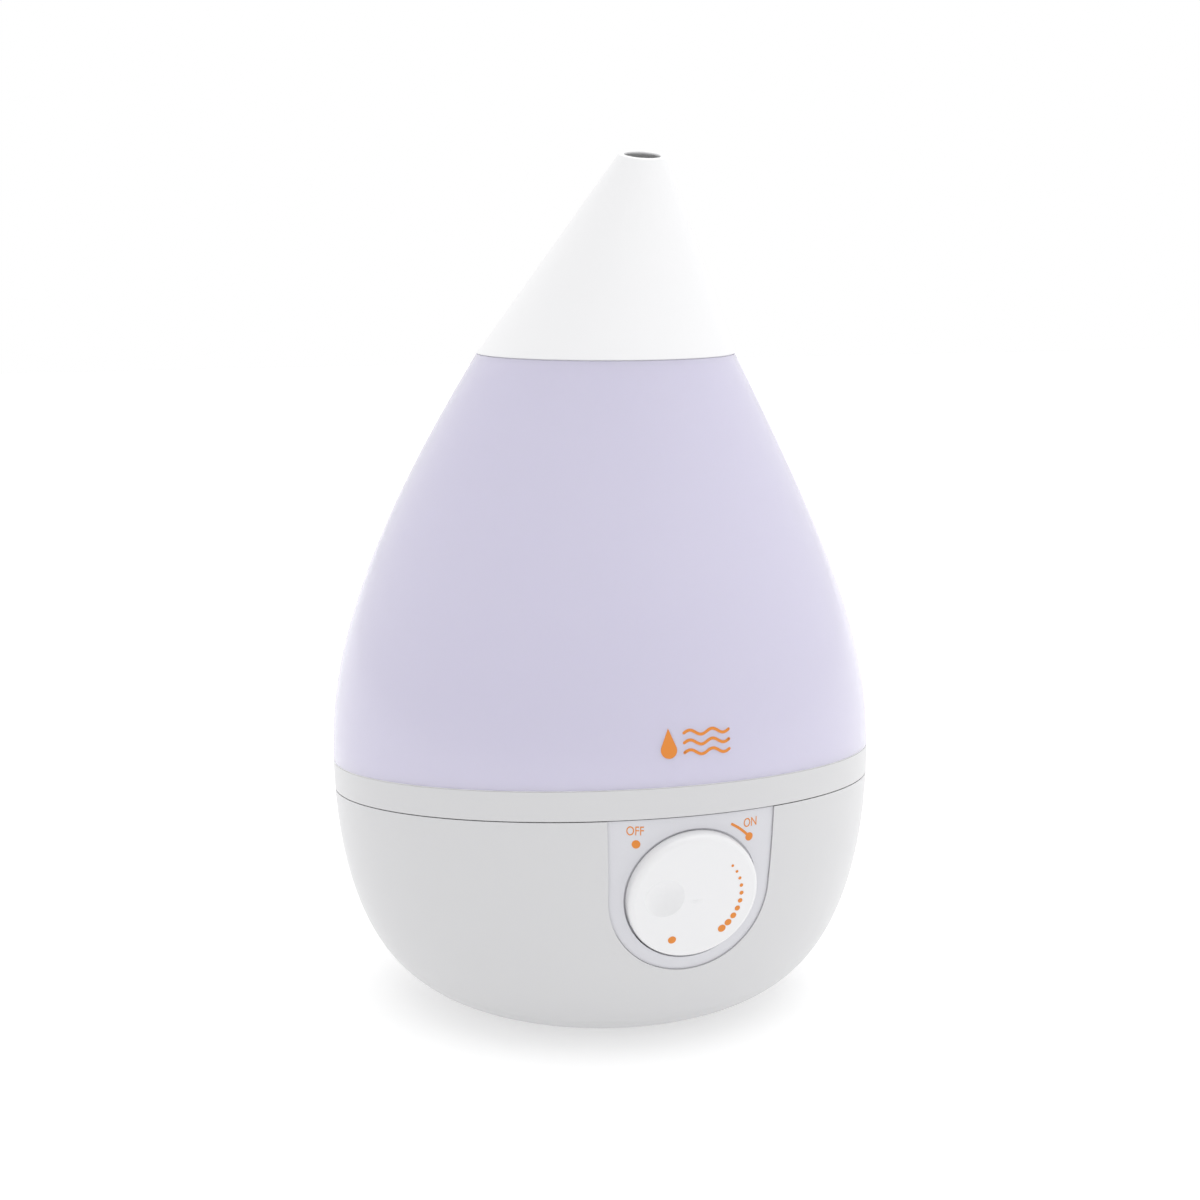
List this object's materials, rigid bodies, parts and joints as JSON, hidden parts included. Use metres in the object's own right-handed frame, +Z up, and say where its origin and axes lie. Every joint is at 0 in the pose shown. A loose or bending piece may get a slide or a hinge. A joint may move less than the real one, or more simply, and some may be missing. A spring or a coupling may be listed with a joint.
{
  "type": "cool mist humidifier",
  "caption": "Droplet-shaped ultrasonic humidifier: white base with a round mist knob, translucent lavender lift-off tank and a leaning white cone nozzle that turns.",
  "frame": {"origin": "on the floor under the feet, at the centre of the round base", "axes": "+Z up, -Y to the front where the knob is, +X to the right of someone who looks at the front"},
  "size_m": [0.222, 0.2256, 0.3445],
  "materials": {
    "white_housing": "moulded ABS, white, semi-gloss",
    "panel_white": "moulded ABS, lilac white, satin",
    "knob_white": "moulded ABS, white, satin",
    "nozzle_white": "moulded polypropylene, white",
    "tank_lavender": "moulded translucent polypropylene, lavender",
    "tank_clear": "moulded translucent polypropylene",
    "cap_white": "moulded polypropylene, white",
    "inner_plastic": "moulded ABS, natural",
    "float_foam": "moulded closed-cell float, white",
    "fan_black": "moulded PBT, black",
    "transformer_black": "varnished, black",
    "board_green": "glass-epoxy board, green solder mask",
    "foot_rubber": "moulded rubber, grey",
    "seal_silicone": "moulded silicone, translucent white",
    "screw_steel": "zinc-plated steel",
    "shaft_steel": "turned steel",
    "winding_copper": "enamelled copper wire",
    "pin_brass": "nickel-free brass",
    "clamp_aluminium": "extruded, bead-blasted",
    "magnet_ferrite": "sintered ferrite",
    "lead_sheath": "soft PVC sheath",
    "piezo_ceramic": "silvered ceramic disc"
  },
  "bodies": {
    "base": {"lower_housing": "white_housing", "bottom_cover": "white_housing", "rubber_feet": "foot_rubber", "housing_screws": "screw_steel", "deck_ring": "white_housing", "basin": "white_housing", "air_chimney": "white_housing", "float_post": "cap_white", "valve_post": "cap_white", "fan_frame": "fan_black", "fan_coil": "winding_copper", "fan_screws": "screw_steel", "air_duct": "inner_plastic", "transducer_disc": "piezo_ceramic", "transducer_seal": "seal_silicone", "transducer_clamp": "clamp_aluminium", "transducer_screws": "screw_steel", "float_clip": "shaft_steel", "reed_switch": "board_green", "control_panel": "panel_white", "potentiometer": "shaft_steel", "potentiometer_nut": "pin_brass", "power_inlet": "fan_black", "inlet_pins": "pin_brass", "driver_board": "board_green", "power_board": "board_green", "board_standoffs": "inner_plastic", "board_screws": "screw_steel", "heat_sink": "clamp_aluminium", "transformer": "transformer_black", "capacitor": "transformer_black", "transducer_leads": "lead_sheath", "fan_leads": "lead_sheath", "dial_leads": "lead_sheath", "inlet_leads": "lead_sheath", "float_leads": "lead_sheath", "link_leads": "lead_sheath"},
    "knob": {"control_knob": "knob_white", "dial_shaft": "shaft_steel"},
    "rotor": {"fan_rotor": "fan_black", "fan_shaft": "shaft_steel"},
    "float": {"float_body": "float_foam", "float_magnet": "magnet_ferrite"},
    "tank": {"tank_shell": "tank_lavender", "tank_top": "tank_lavender", "mist_tube": "tank_clear", "tank_floor": "tank_lavender"},
    "cap": {"tank_cap": "cap_white", "cap_gasket": "seal_silicone", "valve_spring": "shaft_steel"},
    "valve": {"valve_plunger": "cap_white", "valve_seal": "seal_silicone"},
    "collar": {"nozzle_collar": "nozzle_white"},
    "nozzle": {"mist_nozzle": "nozzle_white"}
  },
  "joints": [
    {"name": "knob_turn", "type": "hinge", "parent": "base", "child": "knob", "pos_m": [0, -0.103, 0.0701], "axis": [0, -0.9767, -0.2147], "range_deg": [-108, 92]},
    {"name": "fan_spin", "type": "hinge", "parent": "base", "child": "rotor", "pos_m": [0, 0.008, 0.0056], "axis": [0, 0, 1], "continuous": true},
    {"name": "float_rise", "type": "slide", "parent": "base", "child": "float", "axis": [0, 0, 1], "range_m": [0, 0.012]},
    {"name": "tank_lift", "type": "slide", "parent": "base", "child": "tank", "axis": [0, 0, 1], "range_m": [0, 0.12]},
    {"name": "cap_turn", "type": "hinge", "parent": "tank", "child": "cap", "pos_m": [-0.036, 0.03, 0.092], "axis": [0, 0, 1], "range_deg": [0, 60]},
    {"name": "valve_travel", "type": "slide", "parent": "cap", "child": "valve", "axis": [0, 0, 1], "range_m": [-0.004, 0], "deforming": ["valve_spring"]},
    {"name": "nozzle_lift", "type": "slide", "parent": "tank", "child": "collar", "axis": [0, 0, 1], "range_m": [0, 0.06]},
    {"name": "nozzle_turn", "type": "hinge", "parent": "collar", "child": "nozzle", "pos_m": [0, -0.007, 0.2661], "axis": [0, 0, 1], "continuous": true}
  ],
  "couplings": [
    {"joint": "valve_travel", "follows": "tank_lift", "ratio": -0.033333}
  ]
}
